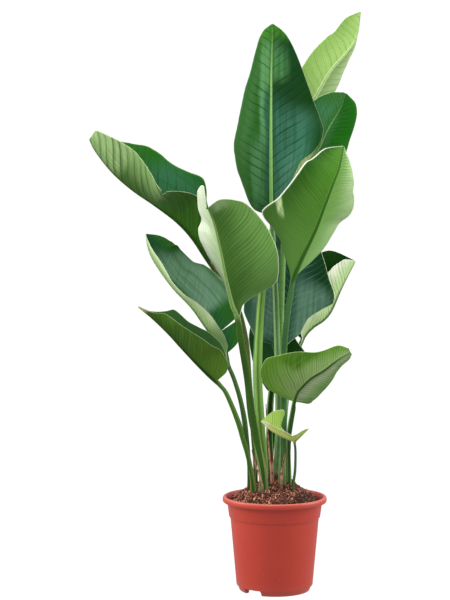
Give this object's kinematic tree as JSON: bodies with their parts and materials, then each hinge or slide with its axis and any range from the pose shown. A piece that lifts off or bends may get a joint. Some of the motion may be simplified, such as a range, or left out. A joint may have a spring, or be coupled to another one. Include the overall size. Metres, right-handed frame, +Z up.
{
  "type": "potted giant white bird of paradise",
  "caption": "Tall potted foliage plant: large paddle-shaped leaves on long channelled stalks, in potting mix in a round tapered nursery pot.",
  "frame": {"origin": "centre of the pot's round underside pad, on the pot's axis, on the surface that it stands on", "axes": "+Z up along the pot's axis, +Y away from the viewer of the picture, +X to the viewer's right"},
  "size_m": [0.6495, 0.488, 1.3565],
  "materials": {
    "pot_plastic": "terracotta-coloured moulded plastic, slightly glossy, with fine turned rings",
    "potting_mix": "loose damp coir fibre and bark chips, dull",
    "leaf": "living leaf and stalk: leathery, satin, fine parallel side veins, paler underside and rib",
    "dry_sheath": "dried papery leaf sheath, dull, straw to dark red-brown"
  },
  "bodies": {
    "root": {"pot": "pot_plastic", "potting_mix": "potting_mix", "leaf_crown": "leaf", "leaf_top_back": "leaf", "leaf_right_back": "leaf", "leaf_front_right": "leaf", "leaf_front_left": "leaf", "leaf_upper_left": "leaf", "leaf_mid_left": "leaf", "leaf_low_left": "leaf", "leaf_inner_right": "leaf", "leaf_right_low": "leaf", "leaf_front_low": "leaf", "leaf_small_front": "leaf", "leaf_low_back": "leaf", "dry_sheath_left": "dry_sheath", "dry_sheath_inner": "dry_sheath", "dry_sheath_middle": "dry_sheath", "dry_sheath_right": "dry_sheath"}
  },
  "joints": []
}
